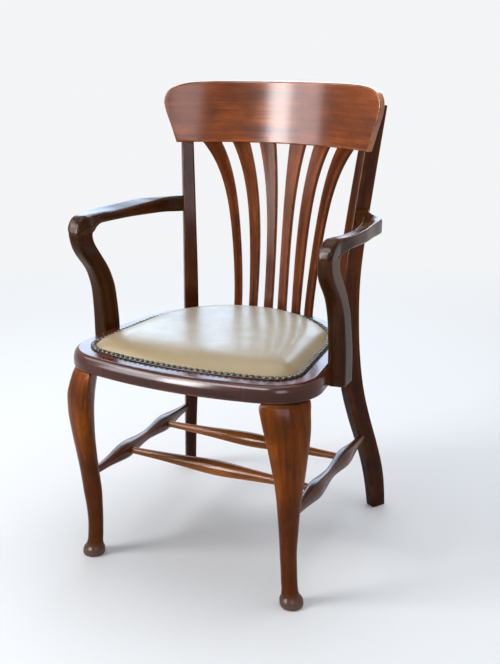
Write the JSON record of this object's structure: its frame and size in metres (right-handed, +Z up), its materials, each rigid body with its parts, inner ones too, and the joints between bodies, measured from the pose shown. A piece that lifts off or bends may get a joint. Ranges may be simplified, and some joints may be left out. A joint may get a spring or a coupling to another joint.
{
  "type": "captains chair",
  "caption": "Wooden captains armchair with a wide bowed crest rail, splayed back slats, round fronted close nailed seat, S shaped arm supports, padded front feet and turned stretchers.",
  "frame": {"origin": "on the floor, under the middle of the chair's box", "axes": "+Z up, the chair faces -Y, +X to the right of someone looking at its front"},
  "size_m": [0.5614, 0.5402, 0.923],
  "materials": {
    "frame_wood": "French polished mahogany, dark red brown, glossy",
    "dowel_wood": "bare beech, glued",
    "leg_wood": "French polished mahogany, golden to red brown, glossy",
    "arm_wood": "French polished mahogany, dark brown, glossy",
    "crest_wood": "French polished mahogany with long grain, glossy",
    "slat_wood": "French polished mahogany, orange brown, glossy",
    "jute": "woven jute",
    "stuffing": "wool and hair felt",
    "leather": "smooth pale olive tan hide, semi gloss",
    "nail_bronze": "antique bronze, worn bright on the crowns"
  },
  "bodies": {
    "root": {"seat_front_rail": "frame_wood", "seat_side_rail_right": "frame_wood", "seat_side_rail_left": "frame_wood", "seat_back_rail": "frame_wood", "front_joint_dowel_1_right": "dowel_wood", "front_joint_dowel_1_left": "dowel_wood", "front_joint_dowel_2_right": "dowel_wood", "front_joint_dowel_2_left": "dowel_wood", "back_joint_dowel_1_right": "dowel_wood", "back_joint_dowel_1_left": "dowel_wood", "back_joint_dowel_2_right": "dowel_wood", "back_joint_dowel_2_left": "dowel_wood", "post_dowel_1_right": "dowel_wood", "post_dowel_1_left": "dowel_wood", "post_dowel_2_right": "dowel_wood", "post_dowel_2_left": "dowel_wood", "crest_dowel_1_right": "dowel_wood", "crest_dowel_1_left": "dowel_wood", "crest_dowel_2_right": "dowel_wood", "crest_dowel_2_left": "dowel_wood", "support_dowel_1_right": "dowel_wood", "support_dowel_1_left": "dowel_wood", "support_dowel_2_right": "dowel_wood", "support_dowel_2_left": "dowel_wood", "front_leg_right": "leg_wood", "front_leg_left": "leg_wood", "side_stretcher_right": "leg_wood", "side_stretcher_left": "leg_wood", "cross_stretcher_rear": "leg_wood", "cross_stretcher_front": "leg_wood", "back_post_right": "arm_wood", "back_post_left": "arm_wood", "arm_right": "arm_wood", "arm_left": "arm_wood", "arm_support_right": "arm_wood", "arm_support_left": "arm_wood", "crest_rail": "crest_wood", "back_slat_1": "slat_wood", "back_slat_2": "slat_wood", "back_slat_3": "slat_wood", "back_slat_4": "slat_wood", "back_slat_5": "slat_wood", "back_slat_6": "slat_wood", "webbing_long_1": "jute", "webbing_cross_1": "jute", "webbing_long_2": "jute", "webbing_cross_2": "jute", "webbing_long_3": "jute", "webbing_cross_3": "jute", "webbing_long_4": "jute", "webbing_cross_4": "jute", "hessian": "jute", "seat_stuffing": "stuffing", "leather_cover": "leather", "upholstery_nails": "nail_bronze"}
  },
  "joints": []
}
